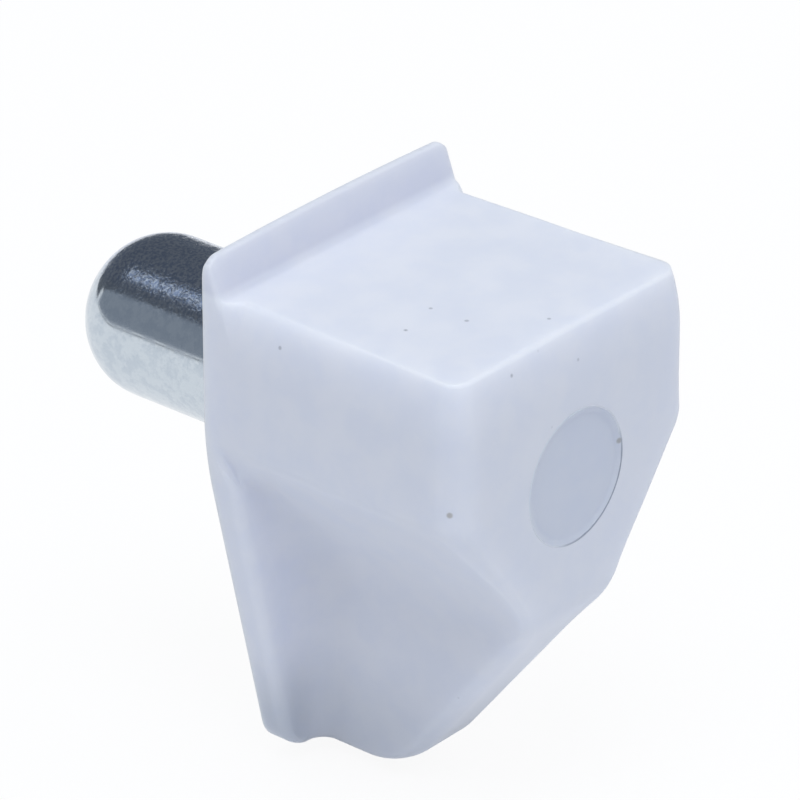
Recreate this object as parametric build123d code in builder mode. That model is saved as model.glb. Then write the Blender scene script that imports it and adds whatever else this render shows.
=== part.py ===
from build123d import *
import os

# Shelf support: a moulded bracket on a plated steel pin, in millimetres.
# The origin is on the pin's axis at the bracket's wall face. The pin points along +Y into the
# cabinet side, the bracket stands out along -Y, and the shelf lies on the seat, which faces +Z.

# Pin
pin_diameter = 5.0
pin_reach = 8.5  # wall face to the tip of the nose
nose_length = 2.3  # elliptical nose, nearly a half ball
pin_embed = 6.0  # hidden length inside the bracket
pin_clearance = 0.02  # radial gap in the bore, the same at its blind end
shank_diameter = 4.2  # the hidden length is turned down, behind a bevelled shoulder
shoulder_bevel = 0.4
shank_chamfer = 0.4
groove_start = 2.4  # ring groove that keys the shank in the moulding, behind the wall face
groove_width = 1.2
groove_depth = 0.3

# Block that carries the shelf
body_width = 10.5
body_depth = 9.35  # wall face to front face
seat_height = 4.65  # above the pin's axis
shoulder_height = 0.0  # where the upright sides end
front_corner_radius = 0.9
front_edge_radius = 0.4  # the slanted edges and the lower edge of the front face
seat_edge_radius = 0.3
side_edge_radius_rear = 1.5  # the seat's side edges are soft at the lip
side_edge_radius_front = 0.45  # and crisp at the front

# Gusset rib under the block
rib_thickness = 3.2
rib_foot_thickness = 2.6  # the rib thins downwards
rib_top_depth = 4.25  # below the pin's axis, where the slanted undersides meet the rib
heel_depth = 4.1  # wall face to the rib's lowest corner
heel_radius = 3.0

# Back plate with its lip
plate_thickness = 0.9
plate_drop = 11.1  # below the pin's axis
plate_foot_width = 5.4
plate_bend_height = -0.3
plate_bend_radius = 12.0
plate_foot_radius = 0.9
web_radius = 0.9  # plate to rib
lip_height = 1.3
lip_root = 0.6
lip_tip = 0.25
lip_crown = 0.1
lip_corner_radius = 0.4

# Shallow round mark on the front face
mark_diameter = 4.15
mark_depth = 0.12

half_width = body_width / 2
half_rib = rib_thickness / 2
half_rib_foot = rib_foot_thickness / 2
pin_radius = pin_diameter / 2
lip_top = seat_height + lip_height
spare = 2.0  # how far cutting profiles run past the solid


def edge_cutter_section(depth, radius):
    # what the soft seat edge loses at one depth: outside the tangent arc, with room to spare
    with BuildSketch(Plane.XZ.offset(depth)) as section:
        with BuildLine():
            Polyline(
                (half_width - radius, seat_height),
                (half_width - radius, seat_height + spare),
                (half_width + spare, seat_height + spare),
                (half_width + spare, seat_height - radius),
                (half_width, seat_height - radius),
            )
            RadiusArc((half_width, seat_height - radius), (half_width - radius, seat_height), -radius)
        make_face()
    return section.sketch


def hidden_profile(gap):
    # half section of the pin's hidden shank, or with a gap that of the bore moulded round it
    radius = shank_diameter / 2 + gap
    floor_radius = radius - groove_depth
    end = -pin_embed - gap
    return [
        (0, 0),
        (0, pin_radius + gap),
        (-shoulder_bevel, radius),
        (-groove_start - gap, radius),
        (-groove_start - gap, floor_radius),
        (-groove_start - groove_width + gap, floor_radius),
        (-groove_start - groove_width + gap, radius),
        (end + shank_chamfer, radius),
        (end, radius - shank_chamfer),
        (end, 0),
    ]


# What rounds one side edge of the seat, widely at the lip and hardly at the front
with BuildPart() as edge_cutter:
    loft(
        sections=[
            edge_cutter_section(0, side_edge_radius_rear),
            edge_cutter_section(body_depth, side_edge_radius_front),
        ],
        ruled=True,
    )

# Block and rib: one extruded section, cut to the side profile
with BuildPart() as block:
    with BuildSketch(Plane.XZ) as section:
        with BuildLine():
            Polyline(
                (-half_width, seat_height),
                (half_width, seat_height),
                (half_width, shoulder_height),
                (half_rib, -rib_top_depth),
                (half_rib_foot, -plate_drop),
                (-half_rib_foot, -plate_drop),
                (-half_rib, -rib_top_depth),
                (-half_width, shoulder_height),
                close=True,
            )
        make_face()
    extrude(amount=body_depth)
    with BuildSketch(Plane.YZ) as side_profile:
        with BuildLine():
            Polyline(
                (0, -plate_drop),
                (0, seat_height),
                (-body_depth, seat_height),
                (-body_depth, -rib_top_depth),
                (-heel_depth, -plate_drop),
                close=True,
            )
        make_face()
        # the front end of the seat, then the heel
        fillet(side_profile.vertices().group_by(Axis.Y)[-1].sort_by(Axis.X)[0], seat_edge_radius)
        fillet(side_profile.vertices().group_by(Axis.Y)[0].sort_by(Axis.X)[0], heel_radius)
    extrude(amount=body_width, both=True, mode=Mode.INTERSECT)
    add(edge_cutter.part, mode=Mode.SUBTRACT)
    add(mirror(edge_cutter.part, about=Plane.YZ, mode=Mode.PRIVATE), mode=Mode.SUBTRACT)

# Back plate: a thin wedge-topped plate cut to its tapering outline
with BuildPart() as plate:
    with BuildSketch(Plane.YZ):
        with BuildLine():
            Polyline(
                (0, -plate_drop),
                (0, lip_top),
                (-lip_tip, lip_top),
                (-lip_root, seat_height),
                (-plate_thickness, seat_height - plate_thickness),
                (-plate_thickness, -plate_drop),
                close=True,
            )
        make_face()
    extrude(amount=body_width, both=True)
    with BuildSketch(Plane.XZ) as plate_outline:
        with BuildLine():
            Line((-half_width, lip_top - lip_crown), (-half_width, plate_bend_height))
            Line((-half_width, plate_bend_height), (-plate_foot_width / 2, -plate_drop))
            Line((-plate_foot_width / 2, -plate_drop), (plate_foot_width / 2, -plate_drop))
            Line((plate_foot_width / 2, -plate_drop), (half_width, plate_bend_height))
            Line((half_width, plate_bend_height), (half_width, lip_top - lip_crown))
            ThreePointArc((half_width, lip_top - lip_crown), (0, lip_top), (-half_width, lip_top - lip_crown))
        make_face()
        bends = [v for v in plate_outline.vertices() if abs(v.Y - plate_bend_height) < 0.01]
        fillet(bends, plate_bend_radius)
        fillet(plate_outline.vertices().group_by(Axis.Y)[0], plate_foot_radius)
        fillet(plate_outline.vertices().group_by(Axis.Y)[-1], lip_corner_radius)
    extrude(amount=body_depth, mode=Mode.INTERSECT)

# Bracket: block, rib and plate as one moulding
with BuildPart() as bracket_body:
    add(block.part)
    add(plate.part)
    # the plan profile rounds the two upright front corners
    with BuildSketch() as plan:
        with Locations((0, -body_depth / 2)):
            Rectangle(body_width, body_depth)
        fillet(plan.vertices().group_by(Axis.Y)[0], front_corner_radius)
    extrude(amount=plate_drop + spare, both=True, mode=Mode.INTERSECT)
    # wide fillets where the rib grows out of the back plate
    plate_front = bracket_body.edges().filter_by(lambda e: abs((e @ 0).Y + plate_thickness) < 0.01)
    plate_front = plate_front.filter_by(lambda e: abs((e @ 1).Y + plate_thickness) < 0.01)
    rib_roots = plate_front.filter_by(lambda e: abs(e.center().X) < rib_thickness)
    rib_roots = rib_roots.filter_by(lambda e: e.center().Z < -rib_top_depth and e.length > rib_thickness)
    fillet(rib_roots, web_radius)
    # soft edges round the front face
    front_edges = bracket_body.faces().sort_by(Axis.Y)[0].edges()
    fillet(front_edges.filter_by(lambda e: e.center().Z < shoulder_height - 1), front_edge_radius)
    # blind bore for the pin, and the shallow round mark opposite
    with BuildSketch(Plane.YZ):
        with BuildLine():
            Polyline(*hidden_profile(pin_clearance), close=True)
        make_face()
    revolve(axis=Axis.Y, mode=Mode.SUBTRACT)
    with BuildSketch(Plane.XZ.offset(body_depth)):
        Circle(mark_diameter / 2)
    extrude(amount=-mark_depth, mode=Mode.SUBTRACT)
    bracket_body.part.label = "bracket_body"

# Pin: a turned rod with a full rounded nose, and a grooved shank behind a bevelled shoulder
with BuildPart() as steel_pin:
    with BuildSketch(Plane.YZ):
        with BuildLine():
            Polyline(*hidden_profile(0), close=True)
        make_face()
        with BuildLine():
            Polyline((pin_reach, 0), (0, 0), (0, pin_radius), (pin_reach - nose_length, pin_radius))
            EllipticalCenterArc((pin_reach - nose_length, 0), nose_length, pin_radius, start_angle=0, arc_size=90)
        make_face()
    revolve(axis=Axis.Y)
    steel_pin.part.label = "steel_pin"

os.makedirs("parts", exist_ok=True)
export_step(bracket_body.part, "parts/bracket_body.step")
export_step(steel_pin.part, "parts/steel_pin.step")
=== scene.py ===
import math
import bmesh
import bpy
import numpy as np
from mathutils import Matrix, Vector


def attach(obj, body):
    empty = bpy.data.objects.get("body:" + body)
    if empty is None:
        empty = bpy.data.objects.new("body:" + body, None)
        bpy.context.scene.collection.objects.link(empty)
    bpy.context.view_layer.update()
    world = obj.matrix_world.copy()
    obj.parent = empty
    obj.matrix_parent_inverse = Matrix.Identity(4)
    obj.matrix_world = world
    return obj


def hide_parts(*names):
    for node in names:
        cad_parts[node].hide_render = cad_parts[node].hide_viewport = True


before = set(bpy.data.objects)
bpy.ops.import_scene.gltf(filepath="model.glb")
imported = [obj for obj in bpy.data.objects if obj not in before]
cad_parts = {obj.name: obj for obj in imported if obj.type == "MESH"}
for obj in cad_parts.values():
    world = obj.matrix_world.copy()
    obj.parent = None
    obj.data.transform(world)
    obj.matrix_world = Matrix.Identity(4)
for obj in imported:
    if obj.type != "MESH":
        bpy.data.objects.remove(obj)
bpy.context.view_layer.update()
mm = 0.001  # in metres, the scene's unit
markRadius = 2.075  # mm, of the shallow round mark: the shape sinks it and the material draws its rim, with a painted highlight and painted shade on it
print("frame loaded:", ", ".join(sorted(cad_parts)))


def newGroup(name, inputs, outputs):
    # a shader node group; inputs are name: default, where None makes a vector, outputs are name: kind
    group = bpy.data.node_groups.new(name, "ShaderNodeTree")
    for label, value in inputs.items():
        kind = "Vector" if value is None else "Float"
        socket = group.interface.new_socket(name=label, in_out="INPUT", socket_type="NodeSocket" + kind)
        if value is not None:
            socket.default_value = value
    for label, kind in outputs.items():
        group.interface.new_socket(name=label, in_out="OUTPUT", socket_type="NodeSocket" + kind)
    return group, group.nodes.new("NodeGroupInput"), group.nodes.new("NodeGroupOutput")


def newMaterial(name):
    material = bpy.data.materials.new(name)
    material.use_nodes = True
    return material, material.node_tree


def addNode(tree, kind, values=None, **settings):
    # one node with its settings and its unlinked socket values
    node = tree.nodes.new("ShaderNode" + kind)
    for name, value in settings.items():
        setattr(node, name, value)
    for name, value in (values or {}).items():
        node.inputs[name].default_value = value
    return node


def addMath(tree, operation, first, second=None, clamp=False):
    # first (operation) second; each is a socket or a number
    node = addNode(tree, "Math", operation=operation, use_clamp=clamp)
    for slot, value in ((0, first), (1, second)):
        if value is None:
            continue
        if isinstance(value, (int, float)):
            node.inputs[slot].default_value = value
        else:
            tree.links.new(value, node.inputs[slot])
    return node.outputs[0]


def addRange(tree, value, low, high, toLow=0.0, toHigh=1.0):
    # the value's range low..high carried softly to toLow..toHigh, and flat outside it
    node = addNode(tree, "MapRange", {1: low, 2: high, 3: toLow, 4: toHigh}, interpolation_type="SMOOTHSTEP")
    tree.links.new(value, node.inputs[0])
    return node.outputs[0]


def addMix(tree, factor, first, second, mode="MIX"):
    # colour mix; the factor is a socket or a number, the others are sockets or colours
    node = addNode(tree, "Mix", data_type="RGBA", blend_type=mode)
    for slot, value in ((0, factor), (6, first), (7, second)):
        if isinstance(value, bpy.types.NodeSocket):
            tree.links.new(value, node.inputs[slot])
        else:
            node.inputs[slot].default_value = value if slot == 0 else (*value, 1)
    return node.outputs[2]


def addTone(tree, mask, colour, tone):
    # the colour times the tone where the mask is 1
    return addMix(tree, mask, colour, addMix(tree, 1.0, colour, tone, "MULTIPLY"))


def srgb(red, green, blue):
    # a colour as it looks on screen, 0 to 255, made linear
    levels = [level / 255 for level in (red, green, blue)]
    return tuple(((level + 0.055) / 1.055) ** 2.4 if level > 0.04045 else level / 12.92 for level in levels)


def makeMouldedSkin():
    # the fine uneven skin of a moulding: slow waves and a faint grain, as one height and one shade
    group, given, result = newGroup(
        "mouldedSkin",
        {"Vector": None, "Wave size": 900.0, "Grain size": 7000.0, "Grain amount": 0.25},
        {"Height": "Float", "Shade": "Float"},
    )
    wave = addNode(group, "TexNoise", {"Detail": 3.0, "Roughness": 0.55})
    grain = addNode(group, "TexNoise", {"Detail": 2.0, "Roughness": 0.5})
    for node, label in ((wave, "Wave size"), (grain, "Grain size")):
        group.links.new(given.outputs["Vector"], node.inputs["Vector"])
        group.links.new(given.outputs[label], node.inputs["Scale"])
    grainPart = addMath(group, "MULTIPLY", grain.outputs[0], given.outputs["Grain amount"])
    group.links.new(addMath(group, "ADD", wave.outputs[0], grainPart), result.inputs["Height"])
    group.links.new(wave.outputs[0], result.inputs["Shade"])
    return group


def makeSpecks():
    # scattered round specks: the middle of those cells whose random colour is below the share
    group, given, result = newGroup(
        "specks",
        {"Vector": None, "Cell size": 900.0, "Speck width": 0.09, "Share": 0.1},
        {"Mask": "Float"},
    )
    cells = addNode(group, "TexVoronoi", feature="F1")
    group.links.new(given.outputs["Vector"], cells.inputs["Vector"])
    group.links.new(given.outputs["Cell size"], cells.inputs["Scale"])
    near = addMath(group, "DIVIDE", cells.outputs["Distance"], given.outputs["Speck width"])
    dot = addMath(group, "SUBTRACT", 1.0, near, clamp=True)
    split = addNode(group, "SeparateColor")
    group.links.new(cells.outputs["Color"], split.inputs[0])
    chosen = addMath(group, "LESS_THAN", split.outputs[0], given.outputs["Share"])
    group.links.new(addMath(group, "MULTIPLY", dot, chosen), result.inputs["Mask"])
    return group


mouldedSkin = makeMouldedSkin()
specks = makeSpecks()

plastic = {
    "colour": srgb(230, 231, 238),
    "shadeColour": srgb(226, 228, 237),
    "waves": (0.3, 0.7),  # shades of the skin between which colour and roughness change
    "roughness": (0.4, 0.5),
    "specular": 0.4,
    "softDepth": 0.7 * mm,  # how far light spreads under the skin
    "specks": {"Cell size": 620.0, "Speck width": 0.05, "Share": 0.35},
    "speckColour": srgb(150, 152, 162),
    "brown": srgb(160, 152, 138),
    "spotCore": 0.4,  # share of a spot's radius that has its full tint
    "spotTint": 0.55,
    "markTone": (0.87, 0.89, 0.92),
    "markFront": -8.0 * mm,  # the mark is drawn in front of this only
    "rimWidth": 0.05 * mm,
    # the rim's painted highlight and painted shade
    "rimPaintedHighlight": srgb(226, 232, 242),
    "rimPaintedShade": srgb(150, 156, 172),
    "rimTurn": 1.0 * mm,  # z - x beyond which the rim is fully painted highlight or fully painted shade
    "rimFade": (0.8 * mm, 2.4 * mm),  # the same without its sign, between which the painted rim comes up
    "footPaintedShade": (0.77, 0.79, 0.8),  # painted shade: the thin foot and the thin lip are darkened in colour, as they give less light back
    "footHeight": (-10.2 * mm, -7.0 * mm),
    "footSides": (1.6 * mm, 2.6 * mm),
    "footMiddle": 0.5,  # share of the foot's painted shade in its middle
    # painted shade on the thin lip
    "lipPaintedShade": (0.88, 0.88, 0.91),
    "lipHeight": (4.68 * mm, 4.95 * mm),
    "bumpDepth": 0.12 * mm,
    "skinBump": 0.02,
    "rimBump": 0.25,
}

# one speck on the side, four on the seat, and brown ones on the near corner and the mark's rim:
# place and radius in mm, colour
spots = [
    ((-5.15, -2.8, 3.93), 0.08, "speckColour"),
    ((-4.94, -5.55, 4.65), 0.08, "speckColour"),
    ((-1.64, -5.36, 4.65), 0.08, "speckColour"),
    ((-1.58, -6.62, 4.65), 0.09, "speckColour"),
    ((0.0, -8.3, 4.65), 0.08, "speckColour"),
    ((-5.1, -8.95, 0.74), 0.12, "brown"),
    ((1.98, -9.3, 0.35), 0.13, "brown"),
]


def makePlastic():
    # milky moulded plastic, cool white, with a faint skin, a few specks and light under the surface
    material, tree = newMaterial("milkyPlastic")
    shader = tree.nodes["Principled BSDF"]
    place = addNode(tree, "TexCoord").outputs["Object"]
    skin = addNode(tree, "Group", node_tree=mouldedSkin)
    dots = addNode(tree, "Group", plastic["specks"], node_tree=specks)
    for node in (skin, dots):
        tree.links.new(place, node.inputs["Vector"])
    # the shallow round mark: distance from the pin's axis, on the front face only
    axes = addNode(tree, "SeparateXYZ")
    tree.links.new(place, axes.inputs[0])
    x, y, z = axes.outputs
    fromAxis = addMath(tree, "ADD", addMath(tree, "POWER", x, 2.0), addMath(tree, "POWER", z, 2.0))
    fromAxis = addMath(tree, "SQRT", fromAxis)
    radius, rimWidth = markRadius * mm, plastic["rimWidth"]
    onFront = addMath(tree, "LESS_THAN", y, plastic["markFront"])
    inside = addRange(tree, fromAxis, radius - rimWidth, radius + rimWidth, 1.0, 0.0)
    mark = addMath(tree, "MULTIPLY", inside, onFront)
    fromRim = addMath(tree, "ABSOLUTE", addMath(tree, "SUBTRACT", fromAxis, radius))
    rim = addMath(tree, "MULTIPLY", addRange(tree, fromRim, 0.0, rimWidth, 1.0, 0.0), onFront)
    # its rim has a painted highlight on the upper left and painted shade on the lower right, and fades
    # between
    across = addMath(tree, "SUBTRACT", z, x)
    rimLitSide = addRange(tree, across, -plastic["rimTurn"], plastic["rimTurn"])
    fade = addRange(tree, addMath(tree, "ABSOLUTE", across), *plastic["rimFade"])
    paintedRimShown = addMath(tree, "MULTIPLY", rim, fade)
    tone = addRange(tree, skin.outputs["Shade"], *plastic["waves"])
    colour = addMix(tree, tone, plastic["shadeColour"], plastic["colour"])
    colour = addMix(tree, dots.outputs["Mask"], colour, plastic["speckColour"])
    for spot, size, shade in spots:
        apart = addNode(tree, "VectorMath", {1: [value * mm for value in spot]}, operation="DISTANCE")
        tree.links.new(place, apart.inputs[0])
        core = size * plastic["spotCore"] * mm
        near = addRange(tree, apart.outputs["Value"], core, size * mm, plastic["spotTint"], 0.0)
        colour = addMix(tree, near, colour, plastic[shade])
    colour = addTone(tree, mark, colour, plastic["markTone"])
    # painted highlight and painted shade on the mark's rim
    colour = addMix(tree, paintedRimShown, colour, addMix(tree, rimLitSide, plastic["rimPaintedShade"], plastic["rimPaintedHighlight"]))
    # painted shade on the foot and the lip, by height, and on the foot less in its middle
    outer = addRange(tree, addMath(tree, "ABSOLUTE", x), *plastic["footSides"], plastic["footMiddle"], 1.0)
    foot = addMath(tree, "MULTIPLY", addRange(tree, z, *plastic["footHeight"], 1.0, 0.0), outer)
    colour = addTone(tree, foot, colour, plastic["footPaintedShade"])
    colour = addTone(tree, addRange(tree, z, *plastic["lipHeight"]), colour, plastic["lipPaintedShade"])
    tree.links.new(colour, shader.inputs["Base Color"])
    rough = addRange(tree, skin.outputs["Shade"], *plastic["waves"], *plastic["roughness"])
    tree.links.new(rough, shader.inputs["Roughness"])
    height = addMath(tree, "MULTIPLY", skin.outputs["Height"], plastic["skinBump"])
    height = addMath(tree, "ADD", height, addMath(tree, "MULTIPLY", rim, plastic["rimBump"]))
    bump = addNode(tree, "Bump", {"Strength": 1.0, "Distance": plastic["bumpDepth"]})
    tree.links.new(height, bump.inputs["Height"])
    tree.links.new(bump.outputs[0], shader.inputs["Normal"])
    shader.inputs["Subsurface Weight"].default_value = 1.0
    shader.inputs["Subsurface Radius"].default_value = (1.0, 1.0, 1.0)
    shader.inputs["Subsurface Scale"].default_value = plastic["softDepth"]
    shader.inputs["Specular IOR Level"].default_value = plastic["specular"]
    return material


steel = {
    "colour": srgb(200, 209, 217),
    "darkColour": srgb(191, 201, 211),
    # painted reflection on the upper part: a darker bluish film and lighter painted glints
    "filmColour": srgb(172, 187, 212),
    "paintedGlintColour": srgb(218, 226, 238),
    "spangle": 10500.0,
    "broadShare": 0.25,  # scale of the broad patches against the spangle's
    "colourPatches": (0.4, 0.6),  # noise values between which the broad patches change
    "roughPatches": (0.35, 0.65),
    "bumpPatches": (0.42, 0.58),
    "paintedGlints": (0.38, 0.62),
    "roughness": (0.18, 0.1),
    "bumpShare": (0.3, 1.0),
    "bumpDepth": 0.009 * mm,
    "upperFilm": (1.35 * mm, 1.85 * mm),  # painted reflection: the film's darker, bluish colour and its bump are on the upper part, above this band of heights, and the pin is plain and smooth below it
    "filmBelow": 0.04,  # what is left of the film below
}


def makeSteel():
    # plated steel: a mottled zinc film that breaks the reflections into patches, with a painted reflection on
    # the upper part: a darker bluish film colour with painted glints
    material, tree = newMaterial("platedSteel")
    shader = tree.nodes["Principled BSDF"]
    place = addNode(tree, "TexCoord").outputs["Object"]
    broadScale = steel["spangle"] * steel["broadShare"]
    mottle = addNode(tree, "TexNoise", {"Scale": steel["spangle"], "Detail": 3.0, "Roughness": 0.6})
    broad = addNode(tree, "TexNoise", {"Scale": broadScale, "Detail": 4.0, "Roughness": 0.6})
    for node in (mottle, broad):
        tree.links.new(place, node.inputs["Vector"])
    rough = addRange(tree, broad.outputs[0], *steel["roughPatches"], *steel["roughness"])
    tree.links.new(rough, shader.inputs["Roughness"])
    axes = addNode(tree, "SeparateXYZ")
    tree.links.new(place, axes.inputs[0])
    # the painted reflection: the film's colour and its bump on the upper part only
    upperFilm = addRange(tree, axes.outputs["Z"], *steel["upperFilm"], steel["filmBelow"], 1.0)
    patches = addRange(tree, broad.outputs[0], *steel["colourPatches"])
    plain = addMix(tree, patches, steel["darkColour"], steel["colour"])
    paintedGlints = addRange(tree, mottle.outputs[0], *steel["paintedGlints"])
    film = addMix(tree, paintedGlints, steel["filmColour"], steel["paintedGlintColour"])
    tree.links.new(addMix(tree, upperFilm, plain, film), shader.inputs["Base Color"])
    patchy = addRange(tree, broad.outputs[0], *steel["bumpPatches"], *steel["bumpShare"])
    height = addMath(tree, "MULTIPLY", mottle.outputs[0], addMath(tree, "MULTIPLY", upperFilm, patchy))
    bump = addNode(tree, "Bump", {"Strength": 1.0, "Distance": steel["bumpDepth"]})
    tree.links.new(height, bump.inputs["Height"])
    tree.links.new(bump.outputs[0], shader.inputs["Normal"])
    shader.inputs["Metallic"].default_value = 1.0
    return material


bracket = {
    "width": 10.5,  # mm, as the solid's
    "depth": 9.35,
    "seat": 4.65,
    "foot": -11.1,
    "footEdge": 0.2,
    "shoulder": 0.0,  # height where the sides turn in
    "shoulderSoftness": 0.28,
    "ribTop": -4.25,
    "ribTopSoftness": 1.5,
    "ribWidth": 3.2,
    "ribFootWidth": 2.6,
    "heelDepth": 4.1,
    "heelRadius": 2.6,
    "chinSoftness": 0.5,  # where the front face turns under
    "ribCorner": 0.55,  # radius of the upright front corners: on the rib, the slants and the block
    "slantCorner": 0.32,
    "blockCorner": 0.9,
    "slantFrom": (-5.5, 1.0),  # heights over which one radius goes into the next: start and span
    "blockFrom": (-3.6, 5.0),
    "cornerGap": 0.05,  # what a corner leaves of the half width
    "plateDepth": 0.9,
    "plateFootWidth": 5.4,
    "plateBend": -0.3,
    "plateBendSoftness": 1.4,
    "plateEdge": 0.32,
    "plateEdgeShare": 0.25,  # most that the edge and the web take of the plate beside the rib
    "webShare": 0.7,
    "web": 1.5,
    "footCorner": 0.9,
    "apartFrom": (0.2, 1.3),  # depths below the axis over which plate and block part: start and span
    "joinShare": 0.4,  # share of the block's widening that the web's columns take
    "rollRun": (0.28, 0.7),  # the seat's edges: how far the walls lean in, at the front and at the lip
    "rollDrop": (1.9, 1.6),  # and how far below the top they start to
    "rollTurn": 32.0,  # at the front the seat cuts the roll at this turn, further back it is fully round
    "roundFrom": (-8.8, 5.0),  # y over which the roll gets fully round: start and span
    "lipRun": 0.12,
    "lipDrop": 0.4,
    "lipFrom": (-1.2, 0.55),  # y over which the seat's roll goes into the lip's
    "markDepth": 0.08,
    "markEdge": 0.22,
    "markReach": 0.02,  # only points this near to the front face are sunk
    "lipHeight": 1.3,
    "lipRoot": 0.6,
    "lipRootSoftness": 0.16,
    "lipTip": 0.22,
    "lipTipSoftness": (0.1, 0.07),  # down its face and along its top
    "lipBackSoftness": 0.08,
    "lipCornerPoints": (7, 7, 6),  # of its profile: at the root, the tip and the back
    "lipFacePoints": 7,
    "lipCorner": 0.5,
    "lipCrown": 0.1,
    "backSpread": 0.9,  # share of a quarter sine that spaces the back's columns
    "frontColumns": 44,
    "cornerColumns": 10,
    "sideColumns": 40,
    "webColumns": 10,
    "edgeColumns": 6,
    "flankColumns": 8,
    "backColumns": 49,
    "footRows": 13,
    "footRise": 1.2,  # mm, height of the foot's rows
    "ribRows": 35,
    "ribRowsEnd": -5.2,
    "slantRows": 61,  # close, because the outline changes fast
    "slantRowsEnd": 1.2,
    "blockRows": 13,
    "blockRowsEnd": 2.6,
    "climbRows": 13,
    "rollRows": 14,
}


def steps(first, last, count):
    # even steps from the first value to the last, without the first
    return np.linspace(first, last, count + 1)[1:]


def blend(first, last, share):
    # first where the share is 0, last where it is 1, in proportion between
    return first + (last - first) * share


def softRamp(value, start, half):
    # zero below the start, value - start above it, and a parabola between start - half and start + half
    near = np.clip(value - start + half, 0, 2 * half)
    return np.where(value > start + half, value - start, near**2 / (4 * half))


def smoothStep(value, start=0.0, span=1.0):
    # 0 up to the start, 1 after the span, and three squares less two cubes of the share between
    share = np.clip((value - start) / span, 0, 1)
    return share * share * (3 - 2 * share)


def softCorner(before, corner, after, count):
    # a parabola from before to after that the corner pulls out
    t = np.linspace(0, 1, count)[:, None]
    return (1 - t) ** 2 * np.array(before) + 2 * t * (1 - t) * np.array(corner) + t**2 * np.array(after)


def ribHalf(z):
    # half width by height: upright sides, straight slants in to the rib, then the rib that thins to its foot
    taper = (bracket["ribWidth"] - bracket["ribFootWidth"]) / 2 / (bracket["ribTop"] - bracket["foot"])
    slant = (bracket["width"] - bracket["ribWidth"]) / 2 / (bracket["shoulder"] - bracket["ribTop"])
    half = bracket["ribFootWidth"] / 2 + taper * (z - bracket["foot"])
    half = half + (slant - taper) * softRamp(z, bracket["ribTop"], bracket["ribTopSoftness"])
    return half - slant * softRamp(z, bracket["shoulder"], bracket["shoulderSoftness"])


def plateHalf(z):
    # half width of the back plate by height: upright, then a straight taper to a foot with round corners
    taper = (bracket["width"] - bracket["plateFootWidth"]) / 2 / (bracket["plateBend"] - bracket["foot"])
    half = bracket["width"] / 2 - taper * softRamp(-z, -bracket["plateBend"], bracket["plateBendSoftness"])
    corner = bracket["footCorner"]
    low = np.clip(corner - (z - bracket["foot"]), 0, corner)
    return half - (corner - np.sqrt(corner**2 - low**2))


def ribDepth(z):
    # depth by height: the upright front face, the long straight slope back, then the heel's arc, which
    # meets the slope and the foot at a tangent
    slope = (bracket["depth"] - bracket["heelDepth"]) / (bracket["ribTop"] - bracket["foot"])
    depth = bracket["depth"] - slope * softRamp(-z, -bracket["ribTop"], bracket["chinSoftness"])
    turn = math.atan2(1, slope)
    radius = bracket["heelRadius"]
    start = bracket["heelDepth"] - radius * math.tan(turn / 2)
    low = np.clip(radius - (z - bracket["foot"]), 0, radius)
    arc = start + np.sqrt(radius**2 - low**2)
    return np.where(z - bracket["foot"] < radius * (1 - math.cos(turn)), arc, depth)


def lipProfile():
    # side view of the lip as depth and height over the seat, from the seat to the back face: a leaning
    # straight face between soft corners at its root and its tip, a flat top and a soft corner at the back
    rootSoft, backSoft = bracket["lipRootSoftness"], bracket["lipBackSoftness"]
    faceSoft, topSoft = bracket["lipTipSoftness"]
    height = bracket["lipHeight"]
    root, tip = (-bracket["lipRoot"], 0.0), (-bracket["lipTip"], height)
    lean = np.array(tip) - np.array(root)
    lean = lean / np.hypot(*lean)
    rootPoints, tipPoints, backPoints = bracket["lipCornerPoints"]
    rootPart = softCorner((root[0] - rootSoft, 0), root, np.array(root) + rootSoft * lean, rootPoints)
    tipPart = softCorner(np.array(tip) - faceSoft * lean, tip, (tip[0] + topSoft, height), tipPoints)
    backPart = softCorner((-backSoft, height), (0.0, height), (0, height - backSoft), backPoints)
    share = np.linspace(0, 1, bracket["lipFacePoints"] + 2)[1:-1, None]
    face = blend(rootPart[-1], tipPart[0], share)
    start = np.array([[-bracket["plateDepth"], 0.0]])
    return np.concatenate([start, rootPart, face, tipPart, backPart])


def lipLift(x, height):
    # the lip's height at x: it is lower by the crown's parabola and by the round corners' arcs
    corner = bracket["lipCorner"]
    past = np.clip(np.abs(x) - (bracket["width"] / 2 - corner), 0, corner)
    drop = corner - np.sqrt(np.maximum(corner**2 - past**2, 0))
    drop = drop + bracket["lipCrown"] * (x / (bracket["width"] / 2)) ** 2
    return height * (1 - drop / bracket["lipHeight"])


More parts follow.
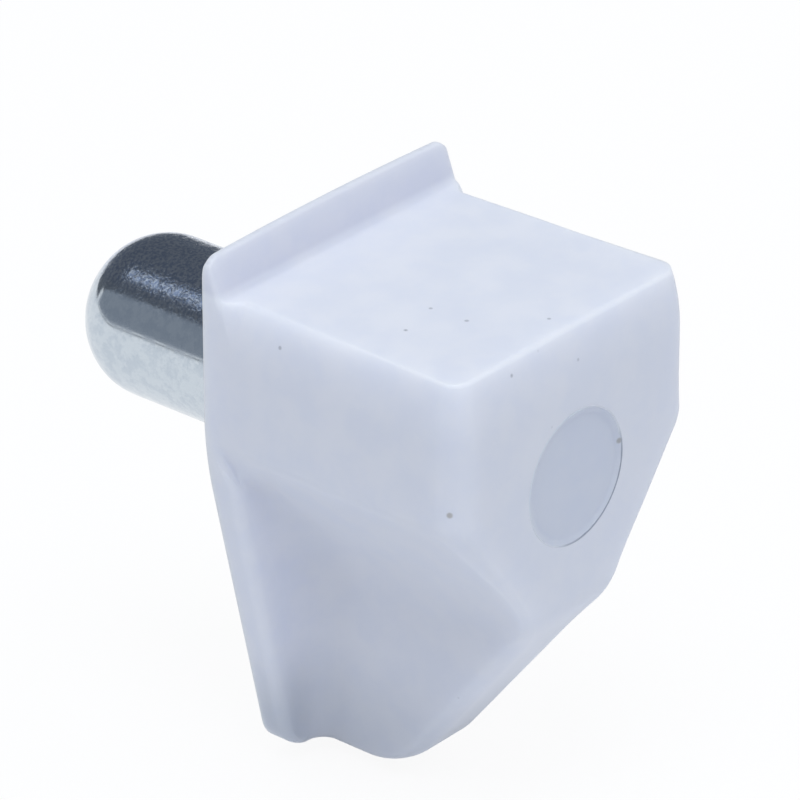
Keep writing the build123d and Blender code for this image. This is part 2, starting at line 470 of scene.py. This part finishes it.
def outlineRows(z, lip):
    # half outlines at the heights z, from the middle of the front round one side to the middle of the back.
    # Front: straight to the corner. Corner: a quarter circle. Side: straight back. Then, low down, the web's
    # quarter circle, the plate's face, the quarter circle of its edge and its flank, and high up one even
    # side, with the lip's depths. A smooth step goes from one to the other. Back: a sine's spacing to x = 0
    flat = np.linspace(0, 1, bracket["frontColumns"] + 1)[:-1]
    turn = np.linspace(0, np.pi / 2, bracket["cornerColumns"] + 1)
    run = steps(0, 1, bracket["sideColumns"])
    bend = steps(0, np.pi / 2, bracket["webColumns"])
    across = steps(0, 1, len(lip) - 1 - bracket["edgeColumns"] - bracket["flankColumns"])
    edgeTurn = steps(0, np.pi / 2, bracket["edgeColumns"])
    flank = steps(0, 1, bracket["flankColumns"])
    spread = bracket["backSpread"] * np.pi / 2
    back = np.sin(steps(spread, 0, bracket["backColumns"])) / np.sin(spread)
    one = np.ones_like(z)

    # all sizes shrink by a quarter circle at the foot's edge
    footEdge = bracket["footEdge"]
    under = footEdge - np.sqrt(footEdge**2 - np.clip(footEdge - (z - bracket["foot"]), 0, footEdge) ** 2)
    half = ribHalf(z) - under
    depth = ribDepth(z) - under
    plate = plateHalf(z) - under
    face = bracket["plateDepth"] - under
    corner = blend(bracket["ribCorner"], bracket["slantCorner"], smoothStep(z, *bracket["slantFrom"]))
    corner = corner + (bracket["blockCorner"] - bracket["slantCorner"]) * smoothStep(z, *bracket["blockFrom"])
    corner = np.minimum(corner, half - bracket["cornerGap"])
    web = np.minimum(bracket["web"], bracket["webShare"] * (plate - half))
    edge = np.minimum(bracket["plateEdge"], bracket["plateEdgeShare"] * (plate - half))

    frontX = np.concatenate([(half - corner) * flat, half - corner + corner * np.sin(turn)], 1)
    frontY = np.concatenate([-depth * np.ones_like(flat), -depth + corner - corner * np.cos(turn)], 1)
    # plate and rib apart
    apartX = np.concatenate([
        half * np.ones_like(run),
        half + web * (1 - np.cos(bend)),
        half + web + (plate - edge - half - web) * across,
        plate - edge + edge * np.sin(edgeTurn),
        plate * np.ones_like(flank),
    ], 1)
    apartY = np.concatenate([
        -depth + corner + (-face - web + depth - corner) * run,
        -face - web + web * np.sin(bend),
        -face * np.ones_like(across),
        -face + edge - edge * np.cos(edgeTurn),
        (-face + edge) * (1 - flank),
    ], 1)
    # plate and block as one: the same points strung along an even side
    join = bracket["plateDepth"] + bracket["web"]
    joinRun = steps(0, 1, bracket["webColumns"])
    joinShare = bracket["joinShare"]
    strung = np.concatenate([
        np.zeros_like(run),
        joinShare * joinRun,
        joinShare + (1 - joinShare) * smoothStep(steps(0, 2, len(lip) - 1)),
    ])
    wholeX = blend(half, plate, strung)
    wholeY = np.concatenate([
        -depth + corner + (-join + depth - corner) * run,
        (-join + (join - bracket["plateDepth"]) * joinRun) * one,
        lip[1:, 0] * one,
    ], 1)
    apart = smoothStep(-z, *bracket["apartFrom"])
    sideX = blend(wholeX, apartX, apart)
    sideY = blend(wholeY, apartY, apart)
    x = np.concatenate([frontX, sideX, sideX[:, -1:] * back], 1)
    y = np.concatenate([frontY, sideY, np.zeros_like(one) * back], 1)
    return x, y


def rolledRows(wallX, wallY, wallZ, corner, lipFrom, lip):
    # the rows above the highest outline: the wall goes straight up, then rolls in to the seat's edge or the
    # lip's end. Height below the top is the drop times one less a sine, the way in is the run times one less
    # a cosine, of a quarter turn at the sides and the lip, and at the front of a shorter turn that is
    # stretched to the same run and drop
    lipEnd = lipFrom + len(lip) - 1
    lift = np.zeros(len(wallX))
    lift[lipFrom:lipEnd] = lip[1:, 1]
    lift[lipEnd:] = lip[-1, 1]
    onSide, onLip = smoothStep(wallY, *bracket["roundFrom"]), smoothStep(wallY, *bracket["lipFrom"])
    rear = np.clip(1 + wallY / bracket["depth"], 0, 1)
    runIn = blend(blend(*bracket["rollRun"], rear), bracket["lipRun"], onLip)
    drop = blend(blend(*bracket["rollDrop"], rear), bracket["lipDrop"], onLip)
    # which way is in: back from the front, across from the side, and both on the corner's quarter circle
    turn = np.linspace(0, np.pi / 2, bracket["cornerColumns"] + 1)
    outX = np.where(np.arange(len(wallX)) < corner.start, 0.0, 1.0)
    outY = outX - 1
    outX[corner] = np.sin(turn)
    outY[corner] = -np.cos(turn)
    outX[lipEnd:] = wallX[lipEnd:] / (bracket["width"] / 2)  # the back keeps its spread
    top = bracket["seat"] + lipLift(wallX - runIn * outX, lift)
    climb = steps(0, 1, bracket["climbRows"])[:, None]
    climbZ = wallZ + climb * (top - drop - wallZ)
    over = steps(0, 1, bracket["rollRows"])[:, None]
    cut = math.radians(bracket["rollTurn"])
    inCut = (1 - np.cos(over * cut)) / (1 - math.cos(cut))
    upCut = np.sin(over * cut) / math.sin(cut)
    inShare = inCut * (1 - onSide) + (1 - np.cos(over * np.pi / 2)) * onSide
    upShare = upCut * (1 - onSide) + np.sin(over * np.pi / 2) * onSide
    x = np.concatenate([np.ones_like(climb) * wallX, wallX - runIn * outX * inShare])
    y = np.concatenate([np.ones_like(climb) * wallY, wallY - runIn * outY * inShare])
    return x, y, np.concatenate([climbZ, top - drop * (1 - upShare)])


def bracketRings():
    # half outlines from the foot to the seat's edge and the lip's end, stacked by height. Gives the points,
    # the columns where the seat's front and its side end, and the lip's profile
    lip = lipProfile()
    rise = 1 - np.cos(np.linspace(0, np.pi / 2, bracket["footRows"] + 1))
    straight = np.concatenate([
        bracket["foot"] + rise * bracket["footRise"],
        steps(bracket["foot"] + bracket["footRise"], bracket["ribRowsEnd"], bracket["ribRows"]),
        steps(bracket["ribRowsEnd"], bracket["slantRowsEnd"], bracket["slantRows"]),
        steps(bracket["slantRowsEnd"], bracket["blockRowsEnd"], bracket["blockRows"]),
    ])
    x, y = outlineRows(straight[:, None], lip)
    corner = slice(bracket["frontColumns"], bracket["frontColumns"] + bracket["cornerColumns"] + 1)
    lipFrom = corner.stop + bracket["sideColumns"] + bracket["webColumns"]
    rolled = rolledRows(x[-1], y[-1], straight[-1], corner, lipFrom, lip)
    x, y = np.concatenate([x, rolled[0]]), np.concatenate([y, rolled[1]])
    z = np.concatenate([straight[:, None] * np.ones(x.shape[1]), rolled[2]])
    # the shallow round mark sinks into the front face
    inMark = smoothStep(markRadius - np.hypot(x, z), 0.0, bracket["markEdge"])
    y = y + bracket["markDepth"] * inMark * (y < -bracket["depth"] + bracket["markReach"])
    frontEnd = corner.start + bracket["cornerColumns"] // 2
    return np.stack([x, y, z], -1), frontEnd, lipFrom + len(lip) - 2, lip


def seatPatch(ring, frontEnd, sideEnd, lip):
    # Coons patch over the seat and the lip: u blends the middle line and the top ring's side, v blends its
    # front and its back, both are added and the blend of the four corners is taken off. The heights inside
    # are the seat's or the lip's
    front, side, back = ring[: frontEnd + 1], ring[frontEnd : sideEnd + 1], ring[sideEnd:][::-1]
    middle = side.copy()
    middle[:, 0] = 0
    middle[0], middle[-1] = front[0], back[0]
    v = (side[:, 1] - side[0, 1]) / (side[-1, 1] - side[0, 1])
    u = blend(front[:, 0] / front[-1, 0], back[:, 0] / back[-1, 0], v[:, None])[:, :, None]
    v = v[:, None, None]
    patch = (1 - u) * middle[:, None] + u * side[:, None] + (1 - v) * front[None] + v * back[None]
    patch -= (1 - u) * (1 - v) * front[0] + u * (1 - v) * front[-1] + (1 - u) * v * back[0] + u * v * back[-1]
    rise = np.zeros(len(side))
    rise[-len(lip) :] = lip[:, 1]
    patch[:, :-1, 2] = bracket["seat"] + lipLift(patch[:, :-1, 0], rise[:, None])
    patch[0], patch[-1], patch[:, -1] = front, back, side
    return patch


def gridFaces(rows, columns, offset=0):
    # quads of a grid of rows and columns
    index = np.arange(rows * columns).reshape(rows, columns) + offset
    return np.stack([index[:-1, :-1], index[:-1, 1:], index[1:, 1:], index[1:, :-1]], -1).reshape(-1, 4)


def makePiece(name, points, faces, material):
    # a smooth closed mesh, in metres, with its doubles merged and its faces outwards
    mesh = bpy.data.meshes.new(name)
    mesh.from_pydata((points * mm).tolist(), [], faces)
    shape = bmesh.new()
    shape.from_mesh(mesh)
    bmesh.ops.remove_doubles(shape, verts=shape.verts, dist=1e-7)
    bmesh.ops.recalc_face_normals(shape, faces=shape.faces)
    shape.to_mesh(mesh)
    shape.free()
    mesh.polygons.foreach_set("use_smooth", np.ones(len(mesh.polygons), bool))
    mesh.materials.append(material)
    piece = bpy.data.objects.new(name, mesh)
    bpy.context.scene.collection.objects.link(piece)
    return piece


def addBracket(material):
    # both mirrored halves of the rings, the seat over them and the flat foot under them
    half, frontEnd, sideEnd, lip = bracketRings()
    patch = seatPatch(half[-1], frontEnd, sideEnd, lip)
    flip = np.array([-1.0, 1.0, 1.0])
    ring = np.concatenate([half, half[:, ::-1] * flip], 1)  # the two middles double and merge
    seat = np.concatenate([patch[:, ::-1] * flip, patch], 1)
    rows, columns = ring.shape[:2]
    points = np.concatenate([ring.reshape(-1, 3), seat.reshape(-1, 3)])
    faces = gridFaces(rows, columns).tolist()
    faces += gridFaces(*seat.shape[:2], offset=rows * columns).tolist()
    faces.append(list(range(columns)))
    piece = makePiece("bracket", points, faces, material)
    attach(piece, "root")
    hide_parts("bracket_body")


pin = {
    "radius": 2.5,  # mm
    "reach": 8.5,
    "nose": 2.3,
    "hidden": -1.0,  # how far the shown pin runs into the moulding
    "shankRows": 59,
    "noseRows": 40,
    "columns": 128,
}


def addPin(material):
    # a profile turned round the pin's axis: a flat end, a straight shank, then a quarter ellipse to the tip
    noseFrom = pin["reach"] - pin["nose"]
    angle = np.linspace(0, np.pi / 2, pin["noseRows"] + 1)
    shank = np.linspace(pin["hidden"], noseFrom, pin["shankRows"] + 1)[:-1]
    along = np.concatenate([[pin["hidden"]], shank, pin["reach"] - pin["nose"] * (1 - np.sin(angle))])
    radius = np.concatenate([[0], np.full(len(shank), pin["radius"]), pin["radius"] * np.cos(angle)])
    radius[-1] = 0
    turn = np.linspace(0, 2 * np.pi, pin["columns"] + 1)
    along, radius = along[:, None], radius[:, None]
    points = np.stack([radius * np.cos(turn), along * np.ones_like(turn), radius * np.sin(turn)], -1)
    piece = makePiece("pin", points.reshape(-1, 3), gridFaces(*points.shape[:2]).tolist(), material)
    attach(piece, "root")
    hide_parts("steel_pin")


addBracket(makePlastic())
print("bracket in place")
addPin(makeSteel())
print("pin in place")

studio = {
    "azimuth": -49.83,  # degrees, of the photo's camera
    "elevation": 27.59,
    "lens": 291.87,
    "sensor": 36.0,
    "distance": 188.22,  # mm from the origin, then sideways and upward in the picture
    "sideways": 2.176,
    "upward": -0.6307,
    "clip": (0.005, 20.0),  # metres
    "floorHeight": -11.5,  # mm, just below the plate's foot
    "floorHalf": 900.0,
    "floorColour": (0.8, 0.81, 0.84, 1),
    "floorGlow": 1.02,
    "floorGlowShare": 0.9,
    "white": (1, 1, 1, 1),
    "sky": (0.89, 0.94, 1.0),
    "skyLevel": 0.62,
    "cardTint": (0.8, 0.88, 1, 1),
}

lamps = {
    "key": {"azimuth": -60.0, "elevation": 75.0, "distance": 350.0, "size": 220.0, "power": 0.54},
    "front": {"azimuth": 25.0, "elevation": 48.0, "distance": 320.0, "size": 160.0, "power": 0.09},
}

# what the pin mirrors: a dark room above, a grey board beside it, a thin dark seam and one small window,
# each as its brightness and its corners in mm
cards = {
    "darkCard": (0.14, [(-290, -200, 60), (160, -200, 60), (160, 400, 60), (-290, 400, 60)]),
    "darkWall": (0.16, [(283, -88, -11), (-39, 294, -11), (-39, 294, 61), (283, -88, 61)]),
    "greyBoard": (0.36, [(-60, -60, -1.7), (-60, 250, -1.7), (-60, 250, 49.5), (-60, -60, 49.5)]),
    "darkSeam": (0.2, [(-60, -60, -6.3), (-60, 250, -6.3), (-60, 250, -4.1), (-60, -60, -4.1)]),
    "window": (0.75, [(-31, 40, 59), (-15, 40, 59), (-15, 58, 59), (-31, 58, 59)]),
}


def viewAxes(azimuth, elevation):
    # right, up and back of a view from the azimuth and elevation, in degrees
    side, rise = math.radians(azimuth), math.radians(elevation)
    right = Vector((math.cos(side), math.sin(side), 0))
    back = Vector((math.sin(side) * math.cos(rise), -math.cos(side) * math.cos(rise), math.sin(rise)))
    return right, back.cross(right), back


def addCamera():
    right, up, back = viewAxes(studio["azimuth"], studio["elevation"])
    camera = bpy.data.objects.new("camera", bpy.data.cameras.new("camera"))
    camera.data.lens = studio["lens"]
    camera.data.sensor_width = studio["sensor"]
    camera.data.clip_start, camera.data.clip_end = studio["clip"]
    turn = Matrix((right, up, back)).transposed()
    place = back * studio["distance"] + right * studio["sideways"] + up * studio["upward"]
    camera.matrix_world = Matrix.Translation(place * mm) @ turn.to_4x4()
    bpy.context.scene.collection.objects.link(camera)
    bpy.context.scene.camera = camera


def addLamp(name, values):
    # a square area lamp that looks at the origin
    right, up, back = viewAxes(values["azimuth"], values["elevation"])
    lamp = bpy.data.objects.new(name, bpy.data.lights.new(name, "AREA"))
    lamp.data.size = values["size"] * mm
    lamp.data.energy = values["power"]
    lamp.data.color = studio["sky"]
    turn = Matrix((right, up, back)).transposed()
    lamp.matrix_world = Matrix.Translation(back * values["distance"] * mm) @ turn.to_4x4()
    bpy.context.scene.collection.objects.link(lamp)


def addSheet(name, corners):
    # one four-sided face, corners in mm, with a material that still needs its shader
    mesh = bpy.data.meshes.new(name)
    mesh.from_pydata([[value * mm for value in corner] for corner in corners], [], [(0, 1, 2, 3)])
    sheet = bpy.data.objects.new(name, mesh)
    bpy.context.scene.collection.objects.link(sheet)
    material, tree = newMaterial(name)
    tree.nodes.remove(tree.nodes["Principled BSDF"])
    mesh.materials.append(material)
    return sheet, tree


def addSeen(tree):
    # 1 for rays that show something straight, mirrored or through glass, 0 for those that light it
    rays = addNode(tree, "LightPath")
    seen = addMath(tree, "MAXIMUM", rays.outputs["Is Camera Ray"], rays.outputs["Is Glossy Ray"])
    return addMath(tree, "MAXIMUM", seen, rays.outputs["Is Transmission Ray"])


def mixShaders(tree, factor, first, second, end):
    # a mix of two shaders into the end node
    mix = addNode(tree, "MixShader")
    tree.links.new(factor, mix.inputs[0])
    tree.links.new(first.outputs[0], mix.inputs[1])
    tree.links.new(second.outputs[0], mix.inputs[2])
    tree.links.new(mix.outputs[0], end.inputs[0])


def addFloor():
    # a white sheet: white to the camera and to reflections, while it still takes the shadow
    half, height = studio["floorHalf"], studio["floorHeight"]
    corners = [(-half, -half, height), (half, -half, height), (half, half, height), (-half, half, height)]
    floor, tree = addSheet("floor", corners)
    paper = addNode(tree, "BsdfDiffuse", {"Color": studio["floorColour"]})
    glow = addNode(tree, "Emission", {"Color": studio["white"], "Strength": studio["floorGlow"]})
    share = addMath(tree, "MULTIPLY", addSeen(tree), studio["floorGlowShare"])
    mixShaders(tree, share, paper, glow, tree.nodes["Material Output"])


def lightWorld():
    # even cool light, white where it is seen
    world = bpy.data.worlds.new("studio")
    bpy.context.scene.world = world
    world.use_nodes = True
    tree = world.node_tree
    tree.nodes.clear()
    soft = addNode(tree, "Background", {"Color": (*studio["sky"], 1), "Strength": studio["skyLevel"]})
    white = addNode(tree, "Background", {"Color": studio["white"], "Strength": 1.0})
    mixShaders(tree, addSeen(tree), soft, white, addNode(tree, "OutputWorld"))


def addCard(name, level, corners):
    # a flat card that only reflections see
    card, tree = addSheet(name, corners)
    card.visible_camera = card.visible_diffuse = card.visible_shadow = False
    card.visible_transmission = card.visible_volume_scatter = False
    glow = addNode(tree, "Emission", {"Color": studio["cardTint"], "Strength": level})
    tree.links.new(glow.outputs[0], tree.nodes["Material Output"].inputs[0])


addCamera()
addFloor()
for name, (level, corners) in cards.items():
    addCard(name, level, corners)
lightWorld()
for name, values in lamps.items():
    addLamp(name, values)
bpy.context.scene.view_settings.view_transform = "Standard"
print("camera, floor and lights in place")
